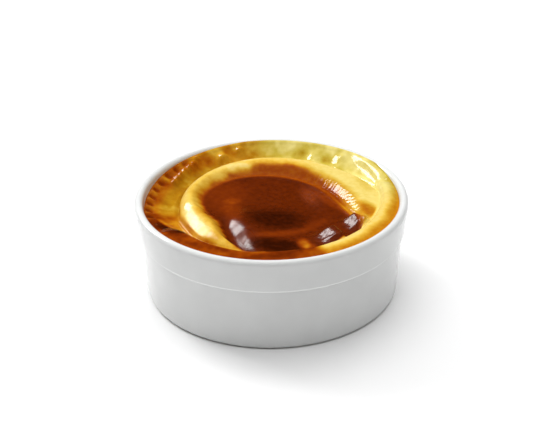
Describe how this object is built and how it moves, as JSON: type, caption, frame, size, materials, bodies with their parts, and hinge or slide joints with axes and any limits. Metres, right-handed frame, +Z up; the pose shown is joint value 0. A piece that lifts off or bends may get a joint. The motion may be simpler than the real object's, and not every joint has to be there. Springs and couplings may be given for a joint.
{
  "type": "rice pudding",
  "caption": "Oven-baked rice pudding with a folded, browned milk skin, sunk a little below the lip of its round white glazed dish.",
  "frame": {"origin": "centre of the dish's base, on the surface it stands on", "axes": "+Z up; +X to the right and -Y towards a viewer who sees the pool nearest and the deep trench at the back left"},
  "size_m": [0.12, 0.12, 0.044],
  "materials": {
    "white_glaze": "smooth glossy white glaze, bare matt clay on the foot ring",
    "baked_milk": "glossy baked milk skin, cream-yellow on the raised folds to dark brown in the pool"
  },
  "bodies": {
    "root": {"ramekin": "white_glaze", "pudding": "baked_milk"}
  },
  "joints": []
}
